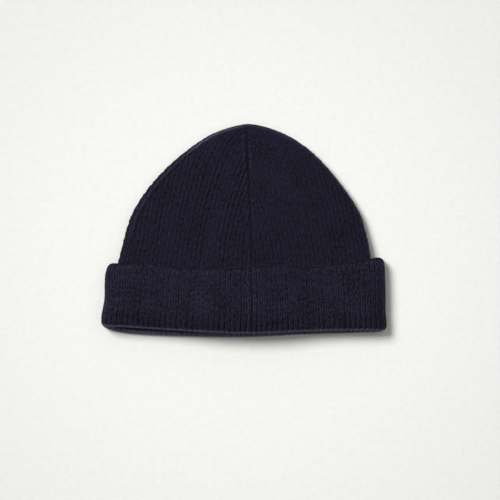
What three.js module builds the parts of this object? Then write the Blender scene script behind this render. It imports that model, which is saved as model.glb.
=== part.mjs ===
// A ribbed knit hat with a turned-up cuff, lying flat. Lengths are millimetres.
// +X is to the right, +Y points to the tip of the crown, and +Z is up from the surface that the hat lies on.
// The origin is the bottom centre of the hat's box.
import * as THREE from "three";

const { clamp, lerp, smoothstep } = THREE.MathUtils;

// One layer of knit: its thickness over a rib, and the depth of the grooves beside ribs and along the seam.
const WALL = 2.5;
const RIB_GROOVE = 0.9;
const SEAM_GROOVE = 1.4;
// Grooves fade out where the knit is pressed flat against the surface that the hat lies on.
const PRESSED_HEIGHT = 2;
// The air between two layers that lie on each other, and between two edges that meet.
const LAYER_GAP = 0.4;
const JOIN_GAP = 0.3;
// How far a layer steps in when it is folded inside another.
const LAYER = WALL + LAYER_GAP;

// The crown's outline is a superellipse that starts under the cuff's free edge and ends at the tip.
const BASE_Y = -29.2;
const TIP_Y = 89.6;
const CROWN_LENGTH = TIP_Y - BASE_Y;
const CROWN_HALF_WIDTH = 105.8;
const CROWN_BASE_X = 1.3;
const CROWN_TIP_X = 3.8;
const ACROSS_POWER = 1.6;
const ALONG_POWER = 1.84;
// Where the crown's sides stand out from that outline or are dented in, by the share of the crown's length.
const CROWN_DENTS = [
  { share: 0, left: 1.9, right: 0 },
  { share: 0.1, left: 0.3, right: -0.2 },
  { share: 0.24, left: 0, right: -0.1 },
  { share: 0.35, left: 0.8, right: 0.9 },
  { share: 0.45, left: 0.7, right: 0.4 },
  { share: 0.6, left: 0.1, right: -0.6 },
  { share: 0.7, left: -0.4, right: 0 },
  { share: 0.84, left: 0, right: 1.5 },
  { share: 0.94, left: 1.5, right: 1.8 },
  { share: 1, left: 0, right: 0 },
];
// How sharply the flat layers turn down at the outline. A higher power turns later.
const FOLD_POWER = 14;
// The underside is pressed flat a little nearer to the outline than the top is.
const PRESSED_SPREAD = 1.03;

// Heights of the top of the cuff, and of the top of the crown at its tip.
const CUFF_TOP = 17.8;
const TIP_TOP = 11.6;
// The hat arches up over its middle: the share of those heights that it reaches, by x.
const ARCH = [
  { x: -120, reach: 0.9 },
  { x: -60, reach: 0.93 },
  { x: -20, reach: 1.12 },
  { x: 20, reach: 1.12 },
  { x: 60, reach: 0.94 },
  { x: 120, reach: 0.9 },
];
// The crown shows from here up. Its underside comes down off the cuff, and its top settles towards the tip.
const SHOWN_Y = -21;
const LANDED_Y = 18;
const SETTLED_Y = 82;

// The four gores go round from the front seam by the left side. Each row has the gore's ribs and the depth of the
// groove at its start: the front seam runs the whole length, and the other three joins show only as missing ribs.
const GORES = [
  { ribs: 29, groove: SEAM_GROOVE },
  { ribs: 29, groove: RIB_GROOVE },
  { ribs: 27, groove: RIB_GROOVE },
  { ribs: 27, groove: RIB_GROOVE },
];
const ribsBefore = (gore) => GORES.slice(0, gore).reduce((sum, { ribs }) => sum + ribs, 0);
const RIBS = ribsBefore(GORES.length);
// In the crown, ribs keep about this pitch and run into the joins as the gores narrow.
const RIB_PITCH = 3.8;
const MOST_SPREAD = 1.17;
// A rib that is closer than this to a join has run into it.
const MERGE = 1.2;

// How far the crown's ribs have slid towards the front and back seams, by the share of the crown's length.
const CROWN_SLIDE = [
  { share: 0, slide: 0 },
  { share: 0.17, slide: 1.4 },
  { share: 0.3, slide: 2.3 },
  { share: 0.43, slide: 2.3 },
  { share: 0.56, slide: 1.3 },
  { share: 0.68, slide: -0.8 },
  { share: 0.81, slide: -3.4 },
  { share: 1, slide: -4.4 },
];

// Where the front seam runs, from the fold to the tip, and its most offset as a share of the half width.
const SEAM_LINE = [
  { y: -86, x: 6.2 },
  { y: -60, x: 6.8 },
  { y: -40, x: 6.1 },
  { y: -20, x: 6.3 },
  { y: 30, x: 4.5 },
  { y: 50, x: 3.6 },
  { y: 68, x: 2.7 },
  { y: 90, x: 2 },
];
const SEAM_SHARE = 0.35;

// The cuff's side edges, by the share of the way from the fold up to the free edge.
const CUFF_SIDES = [
  { share: 0, left: -120.2, right: 120.0 },
  { share: 0.1, left: -120.1, right: 119.8 },
  { share: 0.26, left: -118.9, right: 119.1 },
  { share: 0.42, left: -117.6, right: 119.2 },
  { share: 0.74, left: -117.3, right: 118.8 },
  { share: 0.9, left: -116.8, right: 118.5 },
  { share: 1, left: -115.8, right: 118.1 },
];

// The y of the cuff's fold and free edge on the top layer and on the bottom layer, by x.
const CUFF_EDGES = [
  { x: -119, edge: -27.4, bottomEdge: -27.6, fold: -80.6, bottomFold: -83.0 },
  { x: -104, edge: -27.6, bottomEdge: -28.3, fold: -81.0, bottomFold: -86.1 },
  { x: -90, edge: -27.5, bottomEdge: -28.9, fold: -82.0, bottomFold: -87.6 },
  { x: -45, edge: -32.3, bottomEdge: -30.0, fold: -84.8, bottomFold: -89.6 },
  { x: 0, edge: -32.6, bottomEdge: -30.0, fold: -86.6, bottomFold: -90.2 },
  { x: 24, edge: -30.4, bottomEdge: -29.2, fold: -86.0, bottomFold: -89.3 },
  { x: 48, edge: -31.3, bottomEdge: -28.2, fold: -84.9, bottomFold: -88.1 },
  { x: 80, edge: -28.6, bottomEdge: -25.8, fold: -84.2, bottomFold: -87.0 },
  { x: 105, edge: -24.0, bottomEdge: -24.0, fold: -84.0, bottomFold: -86.2 },
  { x: 119, edge: -21.9, bottomEdge: -21.9, fold: -84.2, bottomFold: -86.0 },
];
const FOLD_CORNER = 2.4;
const EDGE_CORNER = 4.5;
// The fold is a half round as thick as the layers that it joins. Inside it, the knit ends in a short lip.
const FOLD_RADIUS = (WALL + LAYER) / 2;
const LIP = 8;

// How finely the solids are cut. The crown's stations are shares of its length.
const CROWN_STATIONS = [0.992, 0.97, 0.93, 0.87, 0.79, 0.69, 0.58, 0.46, 0.34, 0.22, 0.0695];
const INNER_STATIONS = [0.97, 0.87, 0.72, 0.5, 0.28, 0.0695];
const TUCKED_RIB_SHARE = 0.92;
const TUCKED_SHARES = [0.8, 0.55, 0.28];
const BAND_SHARES = [0.9, 0.62, 0.34];
const FOLD_ANGLES = [45, 90, 135].map(THREE.MathUtils.degToRad);
// Where the free edge is rounded off, as shares of its radius: how far in, and how far down.
const EDGE_IN = 0.25;
const EDGE_DOWN = 0.33;
const PLAIN_STEPS = 14;
const ARC_STEPS = 6 * PLAIN_STEPS;
const SAME_SHARE = 1e-9;
const LEAST_LEVEL = 1e-9;

// The smooth value of one of a table's columns, at a place in its first column.
function columnAt(rows, first, name, place) {
  const places = rows.map((row) => row[first]);
  const values = rows.map((row) => row[name]);
  const smooth = new THREE.CubicInterpolant(places, values, 1);
  return smooth.evaluate(clamp(place, places[0], places[places.length - 1]))[0];
}

// How far a quarter round of that radius has risen at a distance from the side.
function cornerRise(distance, radius) {
  const past = clamp(1 - distance / radius, 0, 1);
  return radius * (1 - Math.sqrt(1 - past * past));
}

// The cuff's fold and free edge at a point. A point knows its x, how near it is to the top layer, and its distance
// from the side.
function foldY({ x, topness, side }) {
  const bottom = columnAt(CUFF_EDGES, "x", "bottomFold", x);
  return lerp(bottom, columnAt(CUFF_EDGES, "x", "fold", x), topness) + cornerRise(side, FOLD_CORNER);
}

function edgeY({ x, topness, side }) {
  const bottom = columnAt(CUFF_EDGES, "x", "bottomEdge", x);
  return lerp(bottom, columnAt(CUFF_EDGES, "x", "edge", x), topness) - cornerRise(side, EDGE_CORNER);
}

// Rules for a ring's y: a share of the way up the cuff and a rise on top of that, or one level.
const cuffRule = (share, rise = 0) => (point) => lerp(foldY(point), edgeY(point), share) + rise;
const levelRule = (y) => () => y;

// A section across the flattened hat. Its level is 0 at the crown's base and 1 at the tip, and its base is the half
// width that the same section would have at level 0.
function makeSection({ left, right, low, high, level = 0 }) {
  const half = (right - left) / 2;
  return { middle: (left + right) / 2, base: half / narrowing(level), half, low, high, level };
}

const narrowing = (level) => Math.max(1 - level, LEAST_LEVEL) ** (1 / ACROSS_POWER);

// The cuff's section at a share of the way up it, at a depth into the folded knit.
function cuffSection(share, depth) {
  return makeSection({
    left: columnAt(CUFF_SIDES, "share", "left", share) + depth,
    right: columnAt(CUFF_SIDES, "share", "right", share) - depth,
    low: depth,
    high: CUFF_TOP - depth,
  });
}

// The section of the body's stretch inside the cuff, which is as wide as the fold lets it be at the bottom.
function tuckedSection(share, depth) {
  const fold = cuffSection(0, LAYER + depth);
  const spread = 1 - smoothstep(share, 0, 1);
  return makeSection({
    left: lerp(CROWN_BASE_X - CROWN_HALF_WIDTH + depth, fold.middle - fold.base, spread),
    right: lerp(CROWN_BASE_X + CROWN_HALF_WIDTH - depth, fold.middle + fold.base, spread),
    low: fold.low,
    high: fold.high,
  });
}

// The crown's level at a share of its length, at a depth into its wall, and its half width without the dents.
const crownLevel = (share, depth) => clamp((share * CROWN_LENGTH) / (CROWN_LENGTH - depth), 0, 1) ** ALONG_POWER;
const crownHalf = (share, depth) => (CROWN_HALF_WIDTH - depth) * narrowing(crownLevel(share, depth));

// The crown's section at a share of its length, at a depth into its wall.
function crownSection(share, depth) {
  const y = BASE_Y + share * CROWN_LENGTH;
  const middle = lerp(CROWN_BASE_X, CROWN_TIP_X, share * share);
  const half = crownHalf(share, depth);
  return makeSection({
    left: middle - half - columnAt(CROWN_DENTS, "share", "left", share),
    right: middle + half + columnAt(CROWN_DENTS, "share", "right", share),
    low: LAYER * (1 - smoothstep(y, SHOWN_Y, LANDED_Y)) + depth,
    high: lerp(CUFF_TOP - LAYER, TIP_TOP, smoothstep(y, SHOWN_Y, SETTLED_Y)) - depth,
    level: crownLevel(share, depth),
  });
}

// The point of a section at an angle that starts over its middle and goes round by the left side.
function sectionPoint({ middle, base, half, low, high, level }, angle) {
  const x = middle - half * Math.sin(angle);
  const spent = clamp((Math.abs(x - middle) / base) ** ACROSS_POWER + level, 0, 1);
  const open = Math.sqrt(1 - spent ** FOLD_POWER);
  const edge = (low + high) / 2;
  const z = Math.cos(angle) >= 0 ? lerp(edge, high, open) : lerp(edge, low, Math.min(1, open * PRESSED_SPREAD));
  return { x, z, topness: (z - low) / (high - low), side: half - Math.abs(x - middle) };
}

// The angles where the gores start, and the front seam's again.
function seamAngles({ middle, half }, yRule) {
  const y = yRule({ x: SEAM_LINE[0].x, topness: 1, side: half });
  const offset = (middle - columnAt(SEAM_LINE, "y", "x", y)) / half;
  const front = Math.asin(clamp(offset, -SEAM_SHARE, SEAM_SHARE));
  return [front, 0.5 * Math.PI, Math.PI - front, 1.5 * Math.PI, 2 * Math.PI + front];
}

// A stretch of a section between two angles: its length, the length up to a share of the turn, and the point and
// outward normal at a distance along it.
function arcBetween(section, from, to) {
  const points = [];
  for (let i = 0; i <= ARC_STEPS; i++) points.push(sectionPoint(section, lerp(from, to, i / ARC_STEPS)));
  const lengths = [0];
  for (let i = 1; i <= ARC_STEPS; i++)
    lengths.push(lengths[i - 1] + Math.hypot(points[i].x - points[i - 1].x, points[i].z - points[i - 1].z));
  const at = (distance) => {
    let i = 1;
    while (i < ARC_STEPS && lengths[i] < distance) i++;
    const [a, b] = [points[i - 1], points[i]];
    const t = clamp((distance - lengths[i - 1]) / (lengths[i] - lengths[i - 1]), 0, 1);
    const chord = Math.hypot(b.x - a.x, b.z - a.z);
    return {
      x: lerp(a.x, b.x, t),
      z: lerp(a.z, b.z, t),
      topness: lerp(a.topness, b.topness, t),
      side: lerp(a.side, b.side, t),
      outX: (b.z - a.z) / chord,
      outZ: (a.x - b.x) / chord,
    };
  };
  const lengthTo = (turn) => lengths[Math.round(turn * ARC_STEPS)];
  return { length: lengths[ARC_STEPS], lengthTo, at };
}

// The closed skin of one piece, built up from rings that go round the hat. A ring is a list of points, each with its
// share of the way round and its index, and points that have run into a join share one index.
class Skin {
  positions = [];
  triangles = [];

  addPoint(x, y, z) {
    this.positions.push(x, y, z * columnAt(ARCH, "x", "reach", x));
    return this.positions.length / 3 - 1;
  }

  addPole(x, y, z) {
    return [{ share: 0, index: this.addPoint(x, y, z) }];
  }

  // A ring with no ribs, for a face that is hidden inside the hat. Its points lie closer together at the side folds.
  addPlainRing(section, yRule) {
    const angles = seamAngles(section, yRule);
    const ring = [];
    GORES.forEach((gore, g) => {
      const { length, lengthTo } = arcBetween(section, angles[g], angles[g + 1]);
      for (let i = 0; i < PLAIN_STEPS; i++) {
        const turn = i / PLAIN_STEPS;
        const point = sectionPoint(section, lerp(angles[g], angles[g + 1], turn));
        const share = (ribsBefore(g) + (gore.ribs * lengthTo(turn)) / length) / RIBS;
        ring.push({ share, index: this.addPoint(point.x, yRule(point), point.z) });
      }
    });
    return ring;
  }

  // A ring with a crest and a groove for each rib. Each gore's ribs keep their pitch about its middle, but for their
  // slide. The turn is how far the layer has gone round the fold: 0 where it faces outwards, and a right angle where
  // it faces down.
  addRibbedRing(section, yRule, { pitch = 0, slide = 0, turn = 0 } = {}) {
    const angles = seamAngles(section, yRule);
    const arcs = GORES.map((gore, g) => arcBetween(section, angles[g], angles[g + 1]));
    const addGrooved = (point, groove) => {
      const depth = groove * smoothstep(point.z, 0, PRESSED_HEIGHT);
      const inward = depth * Math.cos(turn);
      const y = yRule(point) + depth * Math.sin(turn);
      return this.addPoint(point.x - point.outX * inward, y, point.z - point.outZ * inward);
    };
    const joins = GORES.map((gore, g) => addGrooved(arcs[g].at(0), gore.groove));
    const ring = [];
    GORES.forEach((gore, g) => {
      const { length, at } = arcs[g];
      const step = Math.max(length / gore.ribs, pitch) / 2;
      const towards = g % 2 === 0 ? -1 : 1;
      for (let i = 0; i < 2 * gore.ribs; i++) {
        const distance = length / 2 + (i - gore.ribs) * step + towards * slide;
        const share = (ribsBefore(g) + i / 2) / RIBS;
        const isGroove = i % 2 === 0;
        if (i === 0 || distance < MERGE) ring.push({ share, index: joins[g] });
        else if (distance > length - MERGE) ring.push({ share, index: joins[(g + 1) % GORES.length] });
        else ring.push({ share, index: addGrooved(at(distance), isGroove ? RIB_GROOVE : 0) });
      }
    });
    return ring;
  }

  addTriangle(a, b, c) {
    if (a !== b && b !== c && c !== a) this.triangles.push(a, b, c);
  }

  distance(a, b) {
    const [p, q] = [a, b].map((index) => new THREE.Vector3().fromArray(this.positions, 3 * index));
    return p.distanceTo(q);
  }

  // Joins two rings, stepping along whichever one keeps the joined points most nearly side by side. Of two diagonals
  // that do so alike, it takes the shorter.
  join(a, b) {
    const shareOf = (ring, i) => (i < ring.length ? ring[i].share : 1);
    const indexOf = (ring, i) => ring[i % ring.length].index;
    let i = 0;
    let j = 0;
    while (i < a.length || j < b.length) {
      const slantA = i < a.length ? Math.abs(shareOf(a, i + 1) - shareOf(b, j)) : Infinity;
      const slantB = j < b.length ? Math.abs(shareOf(a, i) - shareOf(b, j + 1)) : Infinity;
      const [hereA, nextA] = [indexOf(a, i), indexOf(a, i + 1)];
      const [hereB, nextB] = [indexOf(b, j), indexOf(b, j + 1)];
      const alike = Math.abs(slantA - slantB) < SAME_SHARE;
      const stepA = alike ? this.distance(nextA, hereB) <= this.distance(hereA, nextB) : slantA < slantB;
      this.addTriangle(hereA, stepA ? nextA : nextB, hereB);
      if (stepA) i++;
      else j++;
    }
  }

  loft(rings) {
    for (let i = 1; i < rings.length; i++) this.join(rings[i - 1], rings[i]);
  }

  makeMesh(name, color) {
    const geometry = new THREE.BufferGeometry();
    geometry.setAttribute("position", new THREE.Float32BufferAttribute(this.positions, 3));
    geometry.setIndex(this.triangles);
    geometry.computeVertexNormals();
    const material = new THREE.MeshStandardMaterial({ color, roughness: 0.95, metalness: 0, flatShading: true });
    const mesh = new THREE.Mesh(geometry, material);
    mesh.name = name;
    return mesh;
  }
}

// The pitch of the ribs across the hat: they run along the gores, which slant more as the crown narrows.
function crownPitch(station) {
  const rise = 0.01;
  const widths = [station - rise, station + rise].map((at) => crownHalf(at, 0));
  const slant = (widths[1] - widths[0]) / 2 / (2 * rise * CROWN_LENGTH);
  return RIB_PITCH * Math.min(Math.hypot(1, slant), MOST_SPREAD);
}

// The tip of a skin that lies at a depth into the crown's wall.
function addTip(skin, depth) {
  const { middle, low, high } = crownSection(1, depth);
  return skin.addPole(middle, TIP_Y - depth, (low + high) / 2);
}

// The body of the hat: the gored crown, and the stretch that runs down inside the cuff to its lip.
function makeCrown() {
  const skin = new Skin();
  const ribbed = CROWN_STATIONS.map((station) =>
    skin.addRibbedRing(crownSection(station, 0), levelRule(BASE_Y + station * CROWN_LENGTH), {
      pitch: crownPitch(station),
      slide: columnAt(CROWN_SLIDE, "share", "slide", station),
    }),
  );
  const lastRibs = skin.addRibbedRing(tuckedSection(TUCKED_RIB_SHARE, 0), cuffRule(TUCKED_RIB_SHARE));
  const tucked = (depth) => TUCKED_SHARES.map((share) => skin.addPlainRing(tuckedSection(share, depth), cuffRule(share)));
  const hem = (depth) => skin.addPlainRing(tuckedSection(0, depth), cuffRule(0, LIP));
  const inner = INNER_STATIONS.map((station) =>
    skin.addPlainRing(crownSection(station, WALL), levelRule(BASE_Y + station * CROWN_LENGTH)),
  );
  const outside = [addTip(skin, 0), ...ribbed, lastRibs, ...tucked(0), hem(0)];
  const inside = [hem(WALL), ...tucked(WALL).reverse(), ...inner.reverse(), addTip(skin, WALL)];
  skin.loft([...outside, ...inside]);
  return skin.makeMesh("crown", 0x1f1d2b);
}

// The turned-up cuff: the band outside, the round fold at the mouth, and the lip that the body's hem meets.
function makeCuff() {
  const skin = new Skin();
  const edgeRound = WALL / 2;
  const foldRings = FOLD_ANGLES.map((turn) => {
    const depth = FOLD_RADIUS * (1 - Math.cos(turn));
    const rise = FOLD_RADIUS * (1 - Math.sin(turn));
    return skin.addRibbedRing(cuffSection(0, depth), cuffRule(0, rise), { turn });
  });
  const plain = (share, depth, rise) => skin.addPlainRing(cuffSection(share, depth), cuffRule(share, rise));
  const rings = [
    plain(1, edgeRound, 0),
    skin.addRibbedRing(cuffSection(1, EDGE_IN * edgeRound), cuffRule(1, -EDGE_DOWN * edgeRound)),
    ...BAND_SHARES.map((share) => skin.addRibbedRing(cuffSection(share, 0), cuffRule(share))),
    skin.addRibbedRing(cuffSection(0, 0), cuffRule(0, FOLD_RADIUS)),
    ...foldRings,
    plain(0, WALL + LAYER, FOLD_RADIUS),
    plain(0, WALL + LAYER, LIP - JOIN_GAP),
    plain(0, LAYER, LIP - JOIN_GAP),
    plain(0, FOLD_RADIUS, FOLD_RADIUS - LAYER_GAP / 2),
    plain(0, WALL, LIP),
    ...[...TUCKED_SHARES].reverse().map((share) => plain(share, WALL, 0)),
    plain(1, WALL, -edgeRound),
  ];
  skin.loft([...rings, rings[0]]);
  return skin.makeMesh("cuff", 0x21202d);
}

const hat = new THREE.Group();
hat.add(makeCrown(), makeCuff());

export default hat;
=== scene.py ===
"""A dark ribbed knit hat, lying flat on a pale table and seen from straight above."""
import math

import bpy
import numpy as np
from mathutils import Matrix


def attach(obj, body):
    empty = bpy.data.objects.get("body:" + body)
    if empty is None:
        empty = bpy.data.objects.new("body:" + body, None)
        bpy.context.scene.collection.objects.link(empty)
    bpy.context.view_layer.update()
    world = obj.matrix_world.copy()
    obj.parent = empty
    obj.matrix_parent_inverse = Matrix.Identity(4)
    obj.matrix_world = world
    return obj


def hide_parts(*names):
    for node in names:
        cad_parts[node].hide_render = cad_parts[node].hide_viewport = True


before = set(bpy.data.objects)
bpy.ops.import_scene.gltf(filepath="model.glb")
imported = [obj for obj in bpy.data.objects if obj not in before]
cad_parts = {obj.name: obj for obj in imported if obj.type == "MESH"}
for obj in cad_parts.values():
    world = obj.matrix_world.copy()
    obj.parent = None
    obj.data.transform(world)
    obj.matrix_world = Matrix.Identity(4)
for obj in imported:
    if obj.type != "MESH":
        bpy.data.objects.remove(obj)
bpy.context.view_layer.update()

MM = 0.001

# The knit and its layers, in millimetres. These are the sizes that the solids were made from.
WALL = 2.5
LAYER_GAP = 0.4
JOIN_GAP = 0.3
LAYER = WALL + LAYER_GAP
BASE_Y = -29.2
TIP_Y = 89.6
CROWN_LENGTH = TIP_Y - BASE_Y
CROWN_HALF_WIDTH = 105.8
CROWN_BASE_X = 1.3
CROWN_TIP_X = 3.8
ACROSS_POWER = 1.6
ALONG_POWER = 1.84
# Where the crown's sides stand out from its smooth outline or are dented in, by the share of its length.
CROWN_DENTS = {
    "share": [0, 0.1, 0.24, 0.35, 0.45, 0.6, 0.7, 0.84, 0.94, 1],
    "left": [1.9, 0.3, 0, 0.8, 0.7, 0.1, -0.4, 0, 1.5, 0],
    "right": [0, -0.2, -0.1, 0.9, 0.4, -0.6, 0, 1.5, 1.8, 0],
}
# How boxy a section is, how much wider it is pressed on the table, and how high the hat is at both ends.
FOLD_POWER = 14
PRESSED_SPREAD = 1.03
CUFF_TOP = 17.8
TIP_TOP = 11.6
# The hat arches up over its middle: the share of those heights that it reaches, by x.
ARCH = {
    "x": [-120, -60, -20, 20, 60, 120],
    "reach": [0.9, 0.93, 1.12, 1.12, 0.94, 0.9],
}
# Where the crown is out of the cuff, where its underside reaches the table, and where its top is lowest.
SHOWN_Y = -21
LANDED_Y = 18
SETTLED_Y = 82
# The radius of the cuff's corners as seen from above, and of its rounds, and how far up its lip reaches.
FOLD_CORNER = 2.4
EDGE_CORNER = 4.5
FOLD_RADIUS = (WALL + LAYER) / 2
EDGE_RADIUS = WALL / 2
LIP = 8

# Ribs in the four gores, which go round from the front seam by the left side.
GORE_RIBS = [29, 29, 27, 27]
FRONT_LEFT = 0
BACK_GORES = (1, 2)
FRONT_RIGHT = 3
# Which way round the ring the front or back seam lies from each gore.
TOWARDS_SEAM = (-1, 1, -1, 1)
RIBS = sum(GORE_RIBS)
RIBS_BEFORE = [sum(GORE_RIBS[:gore]) for gore in range(len(GORE_RIBS))]
# The crown's rib pitch, how many times that it grows at most, and how near to a join a rib has run into it.
RIB_PITCH = 3.8
MOST_SPREAD = 1.17
MERGE = 0.6
# Where the front seam runs, from the fold to the tip. It keeps within this share of a section's half width.
SEAM_LINE = {
    "y": [-86, -60, -40, -20, 30, 50, 68, 90],
    "x": [6.2, 6.8, 6.1, 6.3, 4.5, 3.6, 2.7, 2],
}
SEAM_SHARE = 0.35
# How far the crown's ribs have slid towards the front and back seams, by the share of the crown's length.
CROWN_SLIDE = {
    "share": [0, 0.17, 0.3, 0.43, 0.56, 0.68, 0.81, 1],
    "slide": [0, 1.4, 2.3, 2.3, 1.3, -0.8, -3.4, -4.4],
}

# The cuff's side edges by the share of the way up it, and the y of its fold and free edge on both layers by
# x. The upper layer's free edge is up to 1.8 mm further up than the solid's near the front seam.
CUFF_SIDES = {
    "share": [0, 0.1, 0.26, 0.42, 0.74, 0.9, 1],
    "left": [-120.2, -120.1, -118.9, -117.6, -117.3, -116.8, -115.8],
    "right": [120.0, 119.8, 119.1, 119.2, 118.8, 118.5, 118.1],
}
CUFF_EDGES = {
    "x": [-119, -104, -90, -45, 0, 24, 48, 80, 105, 119],
    "edge": [-27.4, -27.6, -26.7, -31.9, -31.0, -28.6, -30.5, -27.9, -24.0, -21.9],
    "bottom_edge": [-27.6, -28.3, -28.9, -30.0, -30.0, -29.2, -28.2, -25.8, -24.0, -21.9],
    "fold": [-80.6, -81.0, -82.0, -84.8, -86.6, -86.0, -84.9, -84.2, -84.0, -84.2],
    "bottom_fold": [-83.0, -86.1, -87.6, -89.6, -90.2, -89.3, -88.1, -87.0, -86.2, -86.0],
}
MEAN_EDGE_Y = -30
MEAN_FOLD_Y = -86
BAND_LENGTH = MEAN_EDGE_Y - MEAN_FOLD_Y - FOLD_RADIUS - EDGE_RADIUS

# Across one rib, from the middle of its groove: where the columns of points lie, how much of the groove and
# of the dip between its two wales each one takes, how much of the stitches' rise, and how late in the stitch
# that rise comes.
RIB_COLUMNS = {
    "place": [0, 0.14, 0.27, 0.5, 0.73, 0.86],
    "groove": [1, 0.4, 0, 0, 0, 0.4],
    "dip": [0, 0, 0, 1, 0, 0],
    "stitch": [0, 1, 1, 0.5, 1, 1],
    "late": [0, 0.33, 0, 0.33, 0, 0.33],
}
# The back's ribs lie on the table and do without the columns on the sides of their grooves.
BACK_KEEPS = (0, 2, 3, 4)
BACK_COLUMNS = {name: [values[i] for i in BACK_KEEPS] for name, values in RIB_COLUMNS.items()}
# A row of points is a third of a stitch.
ROW = 0.6
ROWS_PER_STITCH = 3
STITCH_RISE = 0.16
# How far the ribs waver to each side, how much their grooves come and go, the lengths of the slow and the
# quick wave that both are made of, and the share of each in the waver.
WAVER = 0.25
SLACK = 0.6
SLOW_LENGTH = 9
QUICK_LENGTH = 4
SLOW_SHARE = 0.6
QUICK_SHARE = 0.4
# The front seam's groove, and the lips that the knit is pushed up into on its sides, lumpier on the left.
SEAM_GROOVE = 0.95
SEAM_GROOVE_WIDTH = 0.62
SEAM_LIPS = {
    FRONT_LEFT: {"rise": 0.34, "at": 3.0, "lumps": 0.6},
    FRONT_RIGHT: {"rise": 0.22, "at": 2.2, "lumps": 0.2},
}
SEAM_LIP_WIDTH = 1.1
# The relief fades out where the hat is pressed on the table, and is weaker below the side folds than above.
PRESSED_HEIGHT = 2
UNDER_RELIEF = 0.5
UNDER_TO_OVER = (0.2, 0.6)
# Small bumps along the crown's side folds, from three waves: how fast each turns, where it starts, its share.
FOLD_BUMPS = 0.35
FOLD_BUMPS_REACH = 6
RIGHT_BUMPS_START = 7
BUMP_WAVES = {
    "turn": [0.71, 1.13, 1.9],
    "start": [0, 1.7, 0.5],
    "share": [1, 1, 0.6],
}
# The upper layer's slow rise and fall: a broad swell, and a narrower one that runs aslant. Both come in over
# the upper half of the height.
BROAD_SWELL = {"rise": 0.45, "across": 31, "along": 23, "across_start": 0.4, "along_start": -0.8}
SLANTED_SWELL = {"rise": 0.25, "across": 13, "along": 17}
SWELLING_LAYER = (0.5, 1)

# Painted sheen along the hat's sides: how much lighter they are painted, or painted shade where it is below
# 0, and how far in that reaches. The left side's look turns into the right's this near to the middle.
LEFT_SIDE_SHEEN = -0.12
RIGHT_SIDE_SHEEN = 1.4
SIDE_SHEEN_REACH = 4.5
SIDES_BLEND = 10
# The crown's left side seam is a cord with a groove cut beside it. The cord is not raised: it is only a
# painted highlight. Towards the tip the cord comes out to the side and its painted highlight grows lighter,
# and there its place and width are counted square to the outline.
# The right side, away from the light, shows only a share of the painted highlight.
CORD_HIGHLIGHT = {"at": 4.8, "width": 1.2, "tone": 1.25, "right": 0}
CORD_NEAR_TIP = {"at": 2.1, "width": 1.25, "tone": 3.7, "right": 0.26}
CORD_GROOVE = 0.4
CORD_GROOVE_PAST = 3.0
CORD_GROOVE_WIDTH = 1.0
# The sides of the cuff get painted sheen too, mostly in its lower part.
CUFF_SIDE_SHEEN = {"at": 2.4, "width": 1.9, "tone": 0.5, "right": 0.7, "groove": 0, "bumps": 0}

# What changes smoothly over a stretch: its value before and after, and where it changes. On the crown that is
# a share of its length, from its base up.
CROWN_GROOVE = {"before": 0.54, "after": 0.62, "over": (0.15, 0.5)}
CROWN_GROOVE_LOSS = {"before": 0, "after": 0.12, "over": (0.6, 0.85)}
CROWN_SEAM = {"before": 0.4, "after": 1, "over": (0.5, 0.7)}
TIP_SEAM = {"before": 1, "after": 0.25, "over": (0.85, 0.94)}
NEAR_TIP = {"before": 0, "after": 1, "over": (0.74, 0.88)}
CORD_STARTS = {"before": 0, "after": 1, "over": (0.1, 0.3)}
# Beside the front seam on the right, the crown's ribs are stretched and less deep, up to these distances.
RIGHT_EASE = {"before": 0, "after": 0.35, "over": (0.15, 0.4)}
EASED_STRETCH = (45, 75)
# On the cuff it is a share of the way up from its fold.
NEAR_FOLD = {"before": 1, "after": 0, "over": (0.05, 0.34)}
CUFF_SIDE_SHEEN_FADE = {"before": 1, "after": 0.35, "over": (0.3, 0.6)}
# Below the free edge it is in millimetres, and round the fold in degrees. At the fold sheen tone the yarn is
# painted wholly in its sheen grey.
# Painted shade just below the free edge.
EDGE_SHADE = {"before": 0.94, "after": 1, "over": (0, 1.5)}
FOLD_SHEEN_TONE = 4.5
# Round the fold: painted shade near its top, turning to painted sheen further round.
FOLD_TONE = {"before": 0.72, "after": FOLD_SHEEN_TONE, "over": (5, 50)}
# Painted light on the lower lip, which lies in the upper layer's shadow.
LIP_TONE = {"before": 1, "after": 1.2, "over": (95, 150)}

# How deep the grooves and dips are, and how strong the front seam is, on each part.
CROWN_DIP = 0.24
# The free edge's round is also darkened by painted shade through its tone.
EDGE_LOOK = {"groove": 0.5, "dip": 0.4, "tone": 0.36}
BAND_LOOK = {"groove": 0.6, "dip": 0.5}
BAND_LOOK_NEAR_FOLD = {"groove": 1.0, "dip": 0.38}
# Painted shade on the band near the fold, where it curves away from the light.
BAND_TONE_NEAR_FOLD = 0.74
FOLD_LOOK = {"groove": 0.9, "dip": 0.35}
CUFF_SEAM = 0.5
# The cuff's ribs lean towards the front and back seams near the free edge, and its wall thins there.
CUFF_LEAN = 2.6
EDGE_THINNING = 1.2
THINNING_LENGTH = 5.5
# Just below its free edge the cuff gets a faint painted light.
EDGE_LIGHT = {"from": 2.4, "width": 1.5, "tone": 0.05}

# Where rings lie: round the free edge and the fold in degrees, along the crown's hidden stretches by share,
# and in rows that close up towards the tip.
EDGE_DEGREES = range(35, 161, 25)
FOLD_DEGREES = range(15, 181, 15)
TUCKED_SHARES = (0.72, 0.5, 0.28)
INNER_STATIONS = (0.0695, 0.97)
INNER_RINGS = 14
TIP_ROWS = 7
TIP_ROW_GROWTH = 0.04
LOWEST_ROW_Y = -37.5
LIP_START = 2
# How finely a section is measured, how many points each gore of a plain ring has, how narrow the tip may get,
# and how far above and below a place the crown's outline is compared.
ARC_STEPS = 240
PLAIN_STEPS = 20
LEAST_LEVEL = 1e-9
RUN_STEP = 1
HIGHEST_RUN_Y = TIP_Y - 1.01

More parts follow.
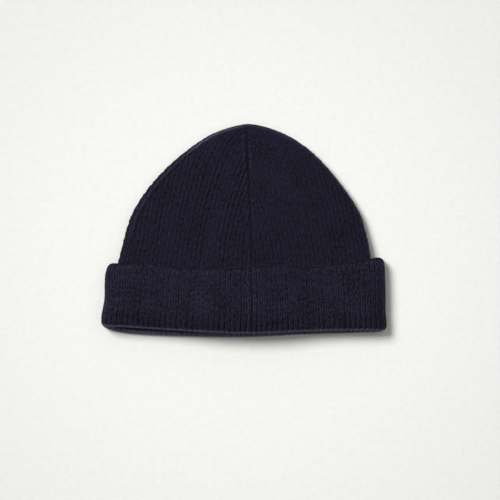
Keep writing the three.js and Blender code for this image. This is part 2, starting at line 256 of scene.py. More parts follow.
# How a ring of ribs is laid where nothing else is said: its pitch isn't kept, and it is even and upright.
EVEN_RING = {"pitch": 0, "slide": 0, "lean": 0, "turn": 0, "thinning": 0, "right_ease": 0, "tone": 1}

# The tones of the yarn: how many turns each kind takes in a millimetre of the cloth, and its share.
YARN_TONES = {
    "streaks": {"across": 0.95, "along": 0.28, "share": 0.65},
    "specks": {"across": 0.85, "along": 0.7, "share": 0.4},
    "fibres": {"across": 1.15, "along": 1.0, "share": 0.7},
    "patches": {"across": 0.05, "along": 0.04, "share": 0.2},
}
YARN_NOISE = {"Scale": 1.0, "Detail": 2.0, "Roughness": 0.6}
YARN_SURFACE = {
    "Roughness": 0.9,
    "Specular IOR Level": 0.15,
    "Sheen Weight": 0.3,
    "Sheen Roughness": 0.35,
    "Sheen Tint": (0.8, 0.78, 0.92, 1),
}
# Loose fibres, finer than the stitches. Distances are in metres.
FIBRES = {"Scale": 2600.0, "Detail": 4.0, "Roughness": 0.7}
FIBRE_BUMP = {"Strength": 0.6, "Distance": 0.00015}
# Painted shade in the grooves and painted highlight on raised stitches, lips and bumps: the share of its tone
# that the yarn keeps for each millimetre that it lies deep, and the depths that count.
KEPT_TONE = 0.14
SHADED_DEPTHS = (-0.6, 2)
# Each knit's darkest and lightest yarn, the grey of its painted sheen, how far apart the tones lie, and how
# fine they are.
KNITS = {
    "crown_knit": {
        "dark": (0.0007, 0.0006, 0.0018),
        "light": (0.0136, 0.0115, 0.0297),
        "grey": (0.0136, 0.0118, 0.0215),
        "spread": 0.13,
        "fineness": 1.0,
    },
    "cuff_knit": {
        "dark": (0.0009, 0.0008, 0.0020),
        "light": (0.0220, 0.0189, 0.0453),
        "grey": (0.0245, 0.0231, 0.0355),
        "spread": 0.095,
        "fineness": 1.12,
    },
}
# The pale table, in metres: painted shade makes it a little darker further out from the hat, where the light
# falls off.
TABLE_HALF_WIDTH = 3.0
TABLE_MIDDLE_Y = -0.03
TABLE_TONES = ((0.8, 0.81, 0.785, 1), (0.9, 0.91, 0.89, 1))
TABLE_FALLOFF = {"From Min": 0.1, "From Max": 0.34, "To Min": 1, "To Max": 0.9}
TABLE_SURFACE = {"Roughness": 0.85, "Specular IOR Level": 0.2}
TABLE_GRAIN = {"Scale": 190.0, "Detail": 4.0, "Roughness": 0.7}
TABLE_BUMP = {"Strength": 0.25, "Distance": 0.001}
# The camera hangs over this point of the table, in metres, and shows this much from side to side.
CAMERA_X = 0.005
CAMERA_Y = -0.0166
CAMERA_HEIGHT = 1.6
HAT_MIDDLE_Z = 0.01
SHOWN_WIDTH = 0.42
SENSOR_WIDTH = 36
# The lamps: the angles are in degrees, the distances and sizes in metres and the energy in watts.
WINDOW = {"side_angle": 139.3, "height_angle": 47.4, "distance": 18.0, "size": 8.2, "energy": 3440}
CEILING = {"side_angle": 83, "height_angle": 68, "distance": 8.0, "size": 25.6, "energy": 715}
WARM_WHITE = (1, 0.985, 0.92)
WHITE = (1, 1, 1)
FILL_STRENGTH = 0.05

CHANCE = np.random.default_rng(5)
PHASES = CHANCE.uniform(0, 2 * math.pi, (6, RIBS))
RIB_DEPTHS = CHANCE.uniform(0.7, 1.3, RIBS)


def lerp(a, b, t):
    return a + (b - a) * t


def smoothstep(value, low, high):
    t = np.clip((value - low) / (high - low), 0, 1)
    return t * t * (3 - 2 * t)


def changed(change, place):
    """The value, at a place, of something that changes smoothly over a stretch."""
    return lerp(change["before"], change["after"], float(smoothstep(place, *change["over"])))


def table_at(table, first, name, place):
    """The smooth value of one of a table's columns, at places in its first column."""
    places = np.array(table[first], float)
    values = np.array(table[name], float)
    slopes = np.diff(values) / np.diff(places)
    tangents = np.concatenate([slopes[:1], (slopes[1:] + slopes[:-1]) / 2, slopes[-1:]])
    place = np.clip(place, places[0], places[-1])
    i = np.clip(np.searchsorted(places, place, side="right") - 1, 0, len(slopes) - 1)
    span = places[i + 1] - places[i]
    t = (place - places[i]) / span
    ease = t * t * (3 - 2 * t)
    bend = t * (1 - t) ** 2 * tangents[i] - t * t * (1 - t) * tangents[i + 1]
    return lerp(values[i], values[i + 1], ease) + bend * span


def corner_rise(distance, radius):
    """How far a quarter round of that radius has risen at a distance from the side."""
    past = np.clip(1 - distance / radius, 0, 1)
    return radius * (1 - np.sqrt(1 - past * past))


def cuff_rule(share, rise=0.0):
    """The rule for a ring's y: a share of the way from the cuff's fold to its free edge, and a rise on top.
    The ring's corners are rounded off."""
    def rule(x, topness, side):
        at = {name: table_at(CUFF_EDGES, "x", name, x) for name in CUFF_EDGES}
        fold = lerp(at["bottom_fold"], at["fold"], topness)
        edge = lerp(at["bottom_edge"], at["edge"], topness)
        low = fold + corner_rise(side, FOLD_CORNER)
        high = edge - corner_rise(side, EDGE_CORNER)
        return lerp(low, high, share) + rise
    return rule


def level_rule(y):
    """The rule for a ring that lies at one y."""
    return lambda x, topness, side: np.full(np.shape(x), y)


def narrowing(level):
    """The share of its base width that a section still has at a level."""
    return max(1 - level, LEAST_LEVEL) ** (1 / ACROSS_POWER)


def make_section(left, right, low, high, level=0.0):
    """A section across the flattened hat. Its level is 0 at the crown's base and 1 at the tip, and its base
    is the half width that the same section would have at level 0."""
    half = (right - left) / 2
    return {
        "middle": (left + right) / 2,
        "half": half,
        "base": half / narrowing(level),
        "low": low,
        "high": high,
        "level": level,
    }


def cuff_section(share, depth):
    left = float(table_at(CUFF_SIDES, "share", "left", share)) + depth
    right = float(table_at(CUFF_SIDES, "share", "right", share)) - depth
    return make_section(left, right, depth, CUFF_TOP - depth)


def tucked_section(share, depth):
    """The body's stretch inside the cuff, which is as wide as the fold lets it be at the bottom."""
    fold = cuff_section(0, LAYER + depth)
    spread = 1 - float(smoothstep(share, 0, 1))
    left = lerp(CROWN_BASE_X - CROWN_HALF_WIDTH + depth, fold["middle"] - fold["base"], spread)
    right = lerp(CROWN_BASE_X + CROWN_HALF_WIDTH - depth, fold["middle"] + fold["base"], spread)
    return make_section(left, right, fold["low"], fold["high"])


def crown_level(y, depth):
    return min(max((y - BASE_Y) / (CROWN_LENGTH - depth), 0), 1) ** ALONG_POWER


def crown_half(y, depth):
    """The crown's half width without the dents."""
    return (CROWN_HALF_WIDTH - depth) * narrowing(crown_level(y, depth))


def crown_section(y, depth):
    share = (y - BASE_Y) / CROWN_LENGTH
    middle = lerp(CROWN_BASE_X, CROWN_TIP_X, share * share)
    half = crown_half(y, depth)
    left = middle - half - float(table_at(CROWN_DENTS, "share", "left", share))
    right = middle + half + float(table_at(CROWN_DENTS, "share", "right", share))
    low = LAYER * (1 - float(smoothstep(y, SHOWN_Y, LANDED_Y))) + depth
    high = lerp(CUFF_TOP - LAYER, TIP_TOP, float(smoothstep(y, SHOWN_Y, SETTLED_Y))) - depth
    return make_section(left, right, low, high, crown_level(y, depth))


def section_points(section, angle):
    """Points of a section at angles that start over its middle and go round by the left side."""
    x = section["middle"] - section["half"] * np.sin(angle)
    across = np.abs(x - section["middle"])
    spent = np.clip((across / section["base"]) ** ACROSS_POWER + section["level"], 0, 1)
    opening = np.sqrt(1 - spent ** FOLD_POWER)
    edge = (section["low"] + section["high"]) / 2
    over = lerp(edge, section["high"], opening)
    under = lerp(edge, section["low"], np.minimum(1, opening * PRESSED_SPREAD))
    z = np.where(np.cos(angle) >= 0, over, under)
    topness = (z - section["low"]) / (section["high"] - section["low"])
    return {"x": x, "z": z, "topness": topness, "side": section["half"] - across}


def seam_angles(section, rule):
    """The angles where the gores start, and the front seam's again."""
    y = float(rule(np.array([SEAM_LINE["x"][0]]), np.array([1.0]), np.array([section["half"]]))[0])
    offset = (section["middle"] - float(table_at(SEAM_LINE, "y", "x", y))) / section["half"]
    front = math.asin(min(max(offset, -SEAM_SHARE), SEAM_SHARE))
    return [front, math.pi / 2, math.pi - front, 1.5 * math.pi, 2 * math.pi + front]


def arc_between(section, start, end):
    """A stretch of a section: its length, and a function from distances along it to points with outward
    normals."""
    points = section_points(section, np.linspace(start, end, ARC_STEPS + 1))
    steps = np.hypot(np.diff(points["x"]), np.diff(points["z"]))
    lengths = np.concatenate([[0], np.cumsum(steps)])
    points["out_x"] = np.gradient(points["z"], lengths)
    points["out_z"] = -np.gradient(points["x"], lengths)

    def at(distance):
        found = {name: np.interp(distance, lengths, values) for name, values in points.items()}
        scale = np.hypot(found["out_x"], found["out_z"])
        found["out_x"] /= scale
        found["out_z"] /= scale
        return found

    return lengths[-1], at


def gather(x, y):
    """The slow rise and fall of the cloth, in millimetres."""
    broad, slanted = BROAD_SWELL, SLANTED_SWELL
    across = np.sin(x / broad["across"] + broad["across_start"])
    along = np.cos(y / broad["along"] + broad["along_start"])
    aslant = np.sin(x / slanted["across"] - y / slanted["along"])
    return broad["rise"] * across * along + slanted["rise"] * aslant


def unevenness(place):
    """Small bumps along a line, from -1 to 1."""
    waves = zip(BUMP_WAVES["turn"], BUMP_WAVES["start"], BUMP_WAVES["share"])
    total = sum(share * np.sin(place * turn + start) for turn, start, share in waves)
    return total / sum(BUMP_WAVES["share"])


def rib_waves(row, rib):
    """A slow and a quick wave along each rib, for its waver, for its grooves and for its dip."""
    slow, quick = (2 * math.pi * row * ROW / span for span in (SLOW_LENGTH, QUICK_LENGTH))
    starts = zip(PHASES[0::2], PHASES[1::2])
    return [(np.sin(slow + first[rib]), np.sin(quick + second[rib])) for first, second in starts]


def come_and_go(waves):
    """How many times as deep as usual a groove or dip is, by its two waves."""
    slow, quick = waves
    return 1 + SLACK * (slow + quick) / 2


def seam_relief(ring, gore, near):
    """How deep the knit lies at a distance from the front seam: its groove, less the lip beside it."""
    lip = SEAM_LIPS[gore]
    rise = lip["rise"] * (1 + lip["lumps"] * unevenness(ring["row"] * ROW))
    raised = rise * np.exp(-((near - lip["at"]) / SEAM_LIP_WIDTH) ** 2)
    sunk = SEAM_GROOVE * np.exp(-(near / SEAM_GROOVE_WIDTH) ** 2)
    return ring["seam"] * (sunk - raised)


def gore_points(ring, gore, length):
    """The points of one gore's ribs in a ring: their places counted in ribs, how far round the ring they lie,
    which of them haven't run into a join, and where those lie and how deep once the ribs lean and waver."""
    ribs = GORE_RIBS[gore]
    columns = BACK_COLUMNS if gore in BACK_GORES else RIB_COLUMNS
    place = (np.arange(ribs)[:, None] + np.array(columns["place"])[None, :]).ravel()
    weights = {name: np.tile(values, ribs) for name, values in columns.items()}
    towards = TOWARDS_SEAM[gore]
    step = max(length / ribs, ring["pitch"])
    distance = length / 2 + (place - ribs / 2) * step + towards * ring["slide"]
    inside = (distance > MERGE) & (distance < length - MERGE)
    inside[0] = False

    rib = np.floor(place).astype(int) + RIBS_BEFORE[gore]
    (slow, quick), groove_waves, dip_waves = rib_waves(ring["row"], rib)
    shift = towards * ring["lean"] * np.sin(math.pi * np.clip(distance / length, 0, 1)) ** 2
    shift = shift + WAVER * (SLOW_SHARE * slow + QUICK_SHARE * quick)
    moved = distance[inside] + shift[inside]

    in_stitch = ring["row"] / ROWS_PER_STITCH + weights["late"]
    rise = STITCH_RISE * weights["stitch"] * np.cos(2 * math.pi * in_stitch)
    near_seam = 1 - smoothstep(length - distance, *EASED_STRETCH)
    eased = 1 - ring["right_ease"] * (gore == FRONT_RIGHT) * near_seam
    cut = ring["groove"] * weights["groove"] * come_and_go(groove_waves) * RIB_DEPTHS[rib] * eased
    depth = (cut + ring["dip"] * weights["dip"] * come_and_go(dip_waves) - rise)[inside]
    if gore in SEAM_LIPS:
        near = moved if gore == FRONT_LEFT else length - moved
        depth = depth + seam_relief(ring, gore, near)
    return place, distance, inside, moved, depth


def side_relief(ring, found, leftness, depth):
    """The depth with the groove beside the cord and the side folds' bumps, and faded towards the table."""
    cord = ring["cord"]
    side = found["side"]
    beside = np.exp(-((side - cord["at"] - CORD_GROOVE_PAST) / CORD_GROOVE_WIDTH) ** 2)
    depth = depth + leftness * cord["groove"] * beside
    start = np.where(found["x"] < 0, 0, RIGHT_BUMPS_START)
    bumps = cord["bumps"] * unevenness(ring["row"] * ROW + start)
    depth = depth - bumps * (1 - smoothstep(side, 0, FOLD_BUMPS_REACH))
    over = smoothstep(found["topness"], *UNDER_TO_OVER)
    return depth * smoothstep(found["z"], 0, PRESSED_HEIGHT) * lerp(UNDER_RELIEF, 1, over)


def side_light(ring, found, leftness):
    """How many times lighter the yarn is painted: painted sheen along the sides, painted shade where that is
    below 0, and the cord's painted highlight.
    """
    cord = ring["cord"]
    side = found["side"]
    # Painted sheen along the sides, or painted shade where it is below 0.
    side_sheen = 1 + lerp(RIGHT_SIDE_SHEEN, LEFT_SIDE_SHEEN, leftness) * (1 - smoothstep(side, 0, SIDE_SHEEN_REACH))
    # The cord's painted highlight, strongest on the left side, which faces the light.
    light = cord["tone"] * np.exp(-((side - cord["at"]) / cord["width"]) ** 2)
    return side_sheen + lerp(cord["right"], 1, leftness) * light


class Skin:
    """A closed skin, built from rings of points that go round the hat. Points that have run into a join share
    one index. Each point also keeps how deep it lies, its place in the cloth and the painted light or shade
    on its yarn."""

    def __init__(self):
        self.points = []
        self.depths = []
        self.cloth = []
        self.faces = []
        self.count = 0

    def add_points(self, x, y, z, depth, across=0.0, along=0.0, tone=1.0):
        self.points.append(np.column_stack([x, y, np.array(z) * table_at(ARCH, "x", "reach", x)]))
        self.depths.append(np.broadcast_to(depth, np.shape(x)).astype(float))
        places = [np.broadcast_to(value, np.shape(x)).astype(float) for value in (across, along, tone)]
        self.cloth.append(np.column_stack(places))
        indices = np.arange(self.count, self.count + len(x))
        self.count += len(x)
        return indices

    def add_pole(self, x, y, z):
        return {"share": np.array([0.0]), "index": self.add_points([x], [y], [z], 0.0)}

    def add_plain_ring(self, section, rule):
        """A ring with no ribs, for a face that is hidden inside the hat."""
        angles = seam_angles(section, rule)
        shares, indices = [], []
        for gore, ribs in enumerate(GORE_RIBS):
            turn = np.arange(PLAIN_STEPS) / PLAIN_STEPS
            start, end = angles[gore:gore + 2]
            fine = section_points(section, np.linspace(start, end, ARC_STEPS + 1))
            lengths = np.concatenate([[0], np.cumsum(np.hypot(np.diff(fine["x"]), np.diff(fine["z"])))])
            found = section_points(section, lerp(start, end, turn))
            along = lengths[(turn * ARC_STEPS).astype(int)] / lengths[-1]
            shares.append((RIBS_BEFORE[gore] + ribs * along) / RIBS)
            y = rule(found["x"], found["topness"], found["side"])
            indices.append(self.add_points(found["x"], y, found["z"], 0.0))
        return {"share": np.concatenate(shares), "index": np.concatenate(indices)}

    def add_grooved(self, ring, rule, found, depth, across):
        """Points of a ribbed ring at their depths. A ring's turn is how far it has gone round the cuff's
        fold, where the depth goes from downwards to along the hat."""
        leftness = 1 - smoothstep(found["x"], -SIDES_BLEND, SIDES_BLEND)
        depth = side_relief(ring, found, leftness, depth)
        inward = depth * math.cos(ring["turn"]) + ring["thinning"] * np.maximum(found["out_z"], 0)
        x = found["x"] - found["out_x"] * inward
        z = found["z"] - found["out_z"] * inward
        y = rule(found["x"], found["topness"], found["side"]) + depth * math.sin(ring["turn"])
        z = z + smoothstep(found["topness"], *SWELLING_LAYER) * gather(x, y)
        tone = ring["tone"] * side_light(ring, found, leftness)
        return self.add_points(x, y, z, depth, across, ring["row"] * ROW, tone)

    def add_ribbed_ring(self, section, rule, **look):
        """A ring with its ribs and stitches. Each gore's ribs keep their pitch about its middle, and those
        past its ends have run into a join."""
        ring = {**EVEN_RING, **look}
        angles = seam_angles(section, rule)
        arcs = [arc_between(section, start, end) for start, end in zip(angles, angles[1:])]
        joins = []
        for gore, (_, at) in enumerate(arcs):
            depth = lerp(ring["groove"], SEAM_GROOVE, ring["seam"] if gore == FRONT_LEFT else 0)
            across = RIBS_BEFORE[gore] * RIB_PITCH
            joins.append(self.add_grooved(ring, rule, at(np.array([0.0])), np.array([depth]), across)[0])
        shares, indices = [], []
        for gore, (length, at) in enumerate(arcs):
            place, distance, inside, moved, depth = gore_points(ring, gore, length)
            index = np.where(distance < length / 2, joins[gore], joins[(gore + 1) % len(joins)])
            across = (RIBS_BEFORE[gore] + place[inside]) * RIB_PITCH
            index[inside] = self.add_grooved(ring, rule, at(moved), depth, across)
            shares.append((RIBS_BEFORE[gore] + place) / RIBS)
            indices.append(index)
        return {"share": np.concatenate(shares), "index": np.concatenate(indices)}

    def join(self, a, b):
        if len(a["index"]) == len(b["index"]):
            self.join_alike(a["index"], b["index"])
        else:
            self.join_unlike(a, b)

    def join_alike(self, a, b):
        """Faces between two rings with the same columns. A column that has run into a join closes up."""
        next_a, next_b = np.roll(a, -1), np.roll(b, -1)
        thin_a, thin_b = a == next_a, b == next_b
        both = ~thin_a & ~thin_b
        self.faces += np.column_stack([a, next_a, next_b, b])[both].tolist()
        self.faces += np.column_stack([a, next_b, b])[thin_a & ~thin_b].tolist()
        self.faces += np.column_stack([a, next_a, b])[~thin_a & thin_b].tolist()

    def join_unlike(self, a, b):
        """Triangles between two rings, stepping along whichever keeps the joined points most nearly level."""
        share_a, share_b = np.append(a["share"], 1), np.append(b["share"], 1)
        index_a, index_b = np.append(a["index"], a["index"][0]), np.append(b["index"], b["index"][0])
        i, j = 0, 0
        while i < len(index_a) - 1 or j < len(index_b) - 1:
            slant_a = abs(share_a[i + 1] - share_b[j]) if i < len(index_a) - 1 else math.inf
            slant_b = abs(share_a[i] - share_b[j + 1]) if j < len(index_b) - 1 else math.inf
            if slant_a <= slant_b:
                corners = [index_a[i], index_a[i + 1], index_b[j]]
                i += 1
            else:
                corners = [index_a[i], index_b[j + 1], index_b[j]]
                j += 1
            if len(set(corners)) == 3:
                self.faces.append([int(corner) for corner in corners])

    def loft(self, rings):
        for a, b in zip(rings, rings[1:]):
            self.join(a, b)

    def make_object(self, name, material):
        mesh = bpy.data.meshes.new(name)
        mesh.from_pydata((np.concatenate(self.points) * MM).tolist(), [], self.faces)
        mesh.validate()
        depth = mesh.attributes.new("groove_depth", "FLOAT", "POINT")
        depth.data.foreach_set("value", np.clip(np.concatenate(self.depths), *SHADED_DEPTHS))
        cloth = mesh.attributes.new("cloth_place", "FLOAT_VECTOR", "POINT")
        cloth.data.foreach_set("vector", np.concatenate(self.cloth).ravel())
        mesh.shade_smooth()
        mesh.materials.append(material)
        made = bpy.data.objects.new(name, mesh)
        bpy.context.scene.collection.objects.link(made)
        return made


def outline_run(y):
    """How far the crown's outline moves sideways for each millimetre that it climbs."""
    y = min(y, HIGHEST_RUN_Y)
    return (crown_half(y + RUN_STEP, 0) - crown_half(y - RUN_STEP, 0)) / (2 * RUN_STEP)


def crown_pitch(y):
    """The pitch of the ribs across the hat, which grows as the gores slant towards the tip."""
    return RIB_PITCH * min(math.hypot(1, outline_run(y) / 2), MOST_SPREAD)


def crown_levels():
    """The y of each row of points in the crown, from the tip down. Near the tip the rows close up."""
    near_tip = [TIP_Y - TIP_ROW_GROWTH * i * i for i in range(1, TIP_ROWS + 1)]
    count = round((near_tip[-1] - LOWEST_ROW_Y) / ROW)
    return near_tip + [near_tip[-1] - ROW * i for i in range(1, count + 1)]


def crown_look(row, y):
    """How the crown's ribs are laid in one row."""
    station = (y - BASE_Y) / CROWN_LENGTH
    near_tip = changed(NEAR_TIP, station)
    cord = {name: lerp(value, CORD_NEAR_TIP[name], near_tip) for name, value in CORD_HIGHLIGHT.items()}
    for name in ("at", "width"):
        cord[name] *= lerp(1, math.hypot(1, outline_run(y)), near_tip)
    cord["tone"] *= changed(CORD_STARTS, station)
    cord["groove"] = CORD_GROOVE * changed(CORD_STARTS, station)
    cord["bumps"] = FOLD_BUMPS
    return {
        "row": row,
        "groove": changed(CROWN_GROOVE, station) - changed(CROWN_GROOVE_LOSS, station),
        "dip": CROWN_DIP,
        "seam": changed(CROWN_SEAM, station) * changed(TIP_SEAM, station),
        "pitch": crown_pitch(y) if y > BASE_Y + RUN_STEP else 0,
        "slide": float(table_at(CROWN_SLIDE, "share", "slide", station)),
        "right_ease": changed(RIGHT_EASE, station),
        "cord": cord,
    }


def make_crown(material):
    """The crown: ribs from the tip to below the cuff's free edge, then plain to the fold and up inside."""
    skin = Skin()

    def tip(depth):
        section = crown_section(TIP_Y, depth)
        return skin.add_pole(section["middle"], TIP_Y - depth, (section["low"] + section["high"]) / 2)

    def tucked(depth):
        sections = [(share, tucked_section(share, depth)) for share in TUCKED_SHARES]
        return [skin.add_plain_ring(section, cuff_rule(share)) for share, section in sections]

    def hem(depth):
        return skin.add_plain_ring(tucked_section(0, depth), cuff_rule(0, LIP))

    outside = [tip(0)]
    for row, y in enumerate(crown_levels()):
        section = crown_section(max(y, BASE_Y), 0)
        outside.append(skin.add_ribbed_ring(section, level_rule(y), **crown_look(row, y)))
    outside += tucked(0) + [hem(0)]
    inside = [hem(WALL)] + tucked(WALL)[::-1]
    for station in np.linspace(*INNER_STATIONS, INNER_RINGS):
        y = BASE_Y + station * CROWN_LENGTH
        inside.append(skin.add_plain_ring(crown_section(y, WALL), level_rule(y)))
    inside.append(tip(WALL))
    skin.loft(outside + inside)
    return skin.make_object("crown_knit", material)


def band_look(share):
    """How the cuff's ribs are laid on its band, and its painted light and shade, at a share of the way from
    the fold to the free edge.
    """
    near_fold = changed(NEAR_FOLD, share)
    from_edge = (1 - share) * BAND_LENGTH
    near_edge = 1 - float(smoothstep(from_edge, 0, THINNING_LENGTH))
    # Painted shade below the free edge and near the fold, and painted light just below the edge.
    tone = lerp(changed(EDGE_SHADE, from_edge), BAND_TONE_NEAR_FOLD, near_fold)
    tone += EDGE_LIGHT["tone"] * math.exp(-((from_edge - EDGE_LIGHT["from"]) / EDGE_LIGHT["width"]) ** 2)
    look = {name: lerp(value, BAND_LOOK_NEAR_FOLD[name], near_fold) for name, value in BAND_LOOK.items()}
    return {**look, "tone": tone, "thinning": EDGE_THINNING * near_edge}


def make_cuff(material):
    """The cuff: round its free edge, down the band, round the fold to the lip, and back up inside."""
    skin = Skin()

    def plain(share, depth, rise):
        return skin.add_plain_ring(cuff_section(share, depth), cuff_rule(share, rise))

    rings = [plain(1, WALL, -EDGE_RADIUS)]

    def add_ribbed(share, depth, rise, **look):
        look["row"] = len(rings) - 1
        look["seam"] = CUFF_SEAM
        look["lean"] = CUFF_LEAN * share * share
        # Painted sheen along the cuff's sides, fading out up the band.
        look["cord"] = {**CUFF_SIDE_SHEEN, "tone": CUFF_SIDE_SHEEN["tone"] * changed(CUFF_SIDE_SHEEN_FADE, share)}
        rings.append(skin.add_ribbed_ring(cuff_section(share, depth), cuff_rule(share, rise), **look))

    for degrees in EDGE_DEGREES:
        angle = math.radians(degrees)
        depth = EDGE_RADIUS * (1 + math.cos(angle))
        rise = EDGE_RADIUS * (math.sin(angle) - 1)
        thinning = EDGE_THINNING * (1 - math.cos(angle)) / 2
        add_ribbed(1, depth, rise, thinning=thinning, **EDGE_LOOK)
    rows = round(BAND_LENGTH / ROW)
    for i in range(rows + 1):
        share = 1 - i / rows
        add_ribbed(share, 0, lerp(FOLD_RADIUS, -EDGE_RADIUS, share), **band_look(share))
    for degrees in FOLD_DEGREES:
        angle = math.radians(degrees)
        depth = FOLD_RADIUS * (1 - math.cos(angle))
        rise = FOLD_RADIUS * (1 - math.sin(angle))
        # Painted shade near the fold's top, painted grey sheen round it, and painted light on its lip.
        tone = changed(FOLD_TONE, degrees) * changed(LIP_TONE, degrees)
        add_ribbed(0, depth, rise, turn=angle, tone=tone, **FOLD_LOOK)
    rings.append(plain(0, WALL + LAYER, FOLD_RADIUS + LIP_START))
    rings.append(plain(0, WALL + LAYER, LIP - JOIN_GAP))
    rings.append(plain(0, LAYER, LIP - JOIN_GAP))
    rings.append(plain(0, FOLD_RADIUS, FOLD_RADIUS - LAYER_GAP / 2))
    rings.append(plain(0, WALL, LIP))
    rings += [plain(share, WALL, 0) for share in TUCKED_SHARES[::-1]]
    skin.loft(rings + rings[:1])
    return skin.make_object("cuff_knit", material)


def add_node(tree, kind, at, **values):
    node = tree.nodes.new(kind)
    node.location = at
    for name, value in values.items():
        if name in node.inputs:
            node.inputs[name].default_value = value
        else:
            setattr(node, name, value)
    return node


def add_yarn_noise(tree, cloth, fineness):
    """The sum of the yarn's noises, each by its share."""
    links = tree.links
    blend = None
    for i, (label, yarn) in enumerate(YARN_TONES.items()):
        at = 600 - 300 * i
        scale = (yarn["across"] * fineness, yarn["along"] * fineness, 0)
        stretch = add_node(tree, "ShaderNodeMapping", (-1300, at), label=label, Scale=scale)
        links.new(cloth.outputs["Vector"], stretch.inputs["Vector"])
        noise = add_node(tree, "ShaderNodeTexNoise", (-1100, at), **YARN_NOISE)
        links.new(stretch.outputs["Vector"], noise.inputs["Vector"])
        amount = add_node(tree, "ShaderNodeMath", (-900, at), operation="MULTIPLY_ADD")
        amount.inputs[1].default_value = yarn["share"]
        amount.inputs[2].default_value = 0
        links.new(noise.outputs["Fac"], amount.inputs[0])
        if blend:
            links.new(blend.outputs[0], amount.inputs[2])
        blend = amount
    return blend


def add_yarn_tones(tree, cloth, knit):
    """The yarn's colour: tones that run in streaks along the wales and in specks."""
    blend = add_yarn_noise(tree, cloth, knit["fineness"])
    middle = sum(yarn["share"] for yarn in YARN_TONES.values()) / 2
    tones = add_node(tree, "ShaderNodeValToRGB", (-500, 250))
    darkest, lightest = tones.color_ramp.elements
    darkest.position = middle - knit["spread"]
    darkest.color = (*knit["dark"], 1)
    lightest.position = middle + knit["spread"]
    lightest.color = (*knit["light"], 1)
    tree.links.new(blend.outputs[0], tones.inputs["Fac"])
    return tones


def add_depth_shade(tree, parts):
    """How light the yarn is painted: painted shade in the grooves, painted highlight where it stands out, and
    times the painted light or shade that each point of the cloth carries as its tone.
    """
    links = tree.links
    depth = add_node(tree, "ShaderNodeAttribute", (-900, -200), attribute_name="groove_depth")
    shade = add_node(tree, "ShaderNodeMath", (-700, -200), operation="POWER")
    shade.inputs[0].default_value = KEPT_TONE
    links.new(depth.outputs["Fac"], shade.inputs[1])
    factor = add_node(tree, "ShaderNodeMath", (-500, -300), operation="MULTIPLY")
    links.new(shade.outputs[0], factor.inputs[0])
    links.new(parts.outputs["Z"], factor.inputs[1])
    return factor


def add_fibre_bump(tree, shader):
    links = tree.links
    place = add_node(tree, "ShaderNodeTexCoord", (-1100, -700))
    fibres = add_node(tree, "ShaderNodeTexNoise", (-900, -700), **FIBRES)
    links.new(place.outputs["Object"], fibres.inputs["Vector"])
    bump = add_node(tree, "ShaderNodeBump", (-300, -500), **FIBRE_BUMP)
    links.new(fibres.outputs["Fac"], bump.inputs["Height"])
    links.new(bump.outputs["Normal"], shader.inputs["Normal"])


def make_knit_material(name):
    """Matt yarn with painted shade in the grooves, painted light and shade along the sides and edges, and a
    painted grey sheen along the cuff's fold.
    """
    knit = KNITS[name]
    material = bpy.data.materials.new(name)
    material.use_nodes = True
    tree = material.node_tree
    links = tree.links
    shader = tree.nodes["Principled BSDF"]
    for socket, value in YARN_SURFACE.items():
        shader.inputs[socket].default_value = value
    cloth = add_node(tree, "ShaderNodeAttribute", (-1500, 200), attribute_name="cloth_place")
    tones = add_yarn_tones(tree, cloth, knit)
    parts = add_node(tree, "ShaderNodeSeparateXYZ", (-900, -400))
    links.new(cloth.outputs["Vector"], parts.inputs[0])
    factor = add_depth_shade(tree, parts)
    # Painted sheen: where the tone is past 1, the yarn is mixed towards its sheen grey.
    painted_sheen = add_node(tree, "ShaderNodeMapRange", (-500, -500), label="painted_sheen")
    painted_sheen.inputs["From Min"].default_value = 1
    painted_sheen.inputs["From Max"].default_value = FOLD_SHEEN_TONE
    links.new(parts.outputs["Z"], painted_sheen.inputs["Value"])
    greyed = add_node(tree, "ShaderNodeMix", (-300, 200), data_type="RGBA")
    greyed.inputs["B"].default_value = (*knit["grey"], 1)
    links.new(painted_sheen.outputs["Result"], greyed.inputs["Factor"])
    links.new(tones.outputs["Color"], greyed.inputs["A"])
    darken = add_node(tree, "ShaderNodeVectorMath", (-100, 100), operation="SCALE")
    links.new(greyed.outputs["Result"], darken.inputs[0])
    links.new(factor.outputs[0], darken.inputs["Scale"])
    links.new(darken.outputs[0], shader.inputs["Base Color"])
    add_fibre_bump(tree, shader)
    return material


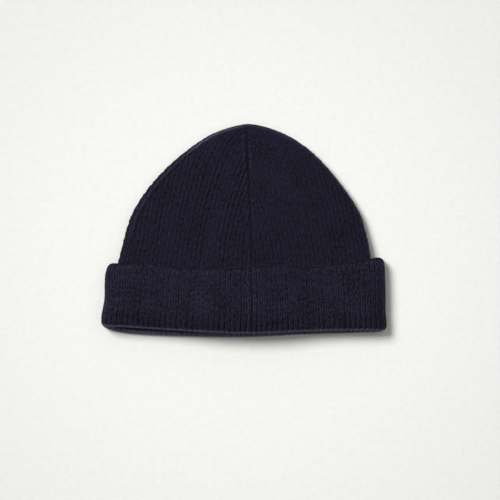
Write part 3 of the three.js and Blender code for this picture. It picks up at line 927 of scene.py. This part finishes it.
def make_plaster():
    """Pale plaster with a faint unevenness, and painted shade that darkens it further out from the hat."""
    material = bpy.data.materials.new("pale_plaster")
    material.use_nodes = True
    tree = material.node_tree
    links = tree.links
    shader = tree.nodes["Principled BSDF"]
    for socket, value in TABLE_SURFACE.items():
        shader.inputs[socket].default_value = value
    place = add_node(tree, "ShaderNodeTexCoord", (-900, 0))
    noise = add_node(tree, "ShaderNodeTexNoise", (-700, 0), **TABLE_GRAIN)
    links.new(place.outputs["Object"], noise.inputs["Vector"])
    tones = add_node(tree, "ShaderNodeValToRGB", (-450, 100))
    for element, tone in zip(tones.color_ramp.elements, TABLE_TONES):
        element.color = tone
    links.new(noise.outputs["Fac"], tones.inputs["Fac"])
    # Painted shade: the plaster is dimmed further out from the table's middle.
    away = add_node(tree, "ShaderNodeVectorMath", (-700, 300), operation="LENGTH")
    links.new(place.outputs["Object"], away.inputs[0])
    falloff = add_node(tree, "ShaderNodeMapRange", (-450, 350), interpolation_type="SMOOTHSTEP")
    for socket, value in TABLE_FALLOFF.items():
        falloff.inputs[socket].default_value = value
    links.new(away.outputs["Value"], falloff.inputs["Value"])
    dimmed = add_node(tree, "ShaderNodeVectorMath", (-150, 150), operation="SCALE")
    links.new(tones.outputs["Color"], dimmed.inputs[0])
    links.new(falloff.outputs["Result"], dimmed.inputs["Scale"])
    links.new(dimmed.outputs[0], shader.inputs["Base Color"])
    bump = add_node(tree, "ShaderNodeBump", (-300, -300), **TABLE_BUMP)
    links.new(noise.outputs["Fac"], bump.inputs["Height"])
    links.new(bump.outputs["Normal"], shader.inputs["Normal"])
    return material


def make_floor():
    """The wide table top that the hat lies on."""
    half = TABLE_HALF_WIDTH
    corners = [(-half, -half, 0), (half, -half, 0), (half, half, 0), (-half, half, 0)]
    mesh = bpy.data.meshes.new("table_top")
    mesh.from_pydata(corners, [], [(0, 1, 2, 3)])
    mesh.materials.append(make_plaster())
    floor = bpy.data.objects.new("table_top", mesh)
    floor.location = (0, TABLE_MIDDLE_Y, 0)
    bpy.context.scene.collection.objects.link(floor)


def make_camera():
    """Straight above the hat, which lies a little above the middle of the picture."""
    data = bpy.data.cameras.new("camera")
    data.sensor_width = SENSOR_WIDTH
    data.lens = data.sensor_width * CAMERA_HEIGHT / SHOWN_WIDTH
    camera = bpy.data.objects.new("camera", data)
    camera.location = (CAMERA_X, CAMERA_Y, HAT_MIDDLE_Z + CAMERA_HEIGHT)
    bpy.context.scene.collection.objects.link(camera)
    bpy.context.scene.camera = camera


def add_lamp(name, side_angle, height_angle, distance, size, energy, color):
    """A round soft lamp that faces the hat. Its side angle is counted from +X and its height angle from the
    table, both in degrees."""
    side = math.radians(side_angle)
    height = math.radians(height_angle)
    data = bpy.data.lights.new(name, "AREA")
    data.shape = "DISK"
    data.size = size
    data.energy = energy
    data.color = color
    lamp = bpy.data.objects.new(name, data)
    flat = distance * math.cos(height)
    lamp.location = (flat * math.cos(side), flat * math.sin(side), distance * math.sin(height))
    lamp.rotation_euler = (-lamp.location).to_track_quat("-Z", "Y").to_euler()
    bpy.context.scene.collection.objects.link(lamp)


def make_lights():
    """A window at the upper left, a wide soft light over the far side of the table, and a faint fill."""
    add_lamp("window", color=WHITE, **WINDOW)
    add_lamp("ceiling", color=WARM_WHITE, **CEILING)
    world = bpy.data.worlds.new("fill")
    bpy.context.scene.world = world
    world.use_nodes = True
    background = world.node_tree.nodes["Background"]
    background.inputs["Color"].default_value = (*WHITE, 1)
    background.inputs["Strength"].default_value = FILL_STRENGTH


bpy.context.scene.view_settings.view_transform = "Standard"
make_camera()
make_lights()
make_floor()

crown_knit = make_knit_material("crown_knit")
cuff_knit = make_knit_material("cuff_knit")
pieces = (
    (make_crown(crown_knit), "crown", "crown_knit"),
    (make_cuff(cuff_knit), "cuff", "cuff_knit"),
)
for piece, node, slot in pieces:
    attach(piece, "root")
    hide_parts(node)
